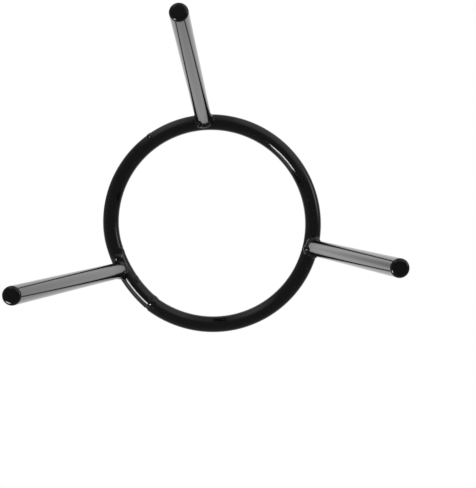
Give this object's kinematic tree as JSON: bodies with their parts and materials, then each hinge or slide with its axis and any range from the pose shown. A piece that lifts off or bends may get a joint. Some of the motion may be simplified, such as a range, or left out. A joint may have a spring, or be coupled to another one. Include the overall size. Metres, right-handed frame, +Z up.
{
  "type": "lab tripod stand",
  "caption": "Lab tripod stand: a ring of round bar on outward-leaning legs of the same bar, welded and painted gloss black, to hold a vessel over a burner.",
  "frame": {"origin": "on the bench, under the middle of the ring", "axes": "+Z up, towards the ring; +X to the right and -Y to the front, where the front leg stands"},
  "size_m": [0.1211, 0.1051, 0.144],
  "materials": {
    "black_paint": "gloss"
  },
  "bodies": {
    "root": {"ring": "black_paint", "ring_weld": "black_paint", "front_leg": "black_paint", "right_leg": "black_paint", "left_leg": "black_paint", "front_weld": "black_paint", "right_weld": "black_paint", "left_weld": "black_paint"}
  },
  "joints": []
}
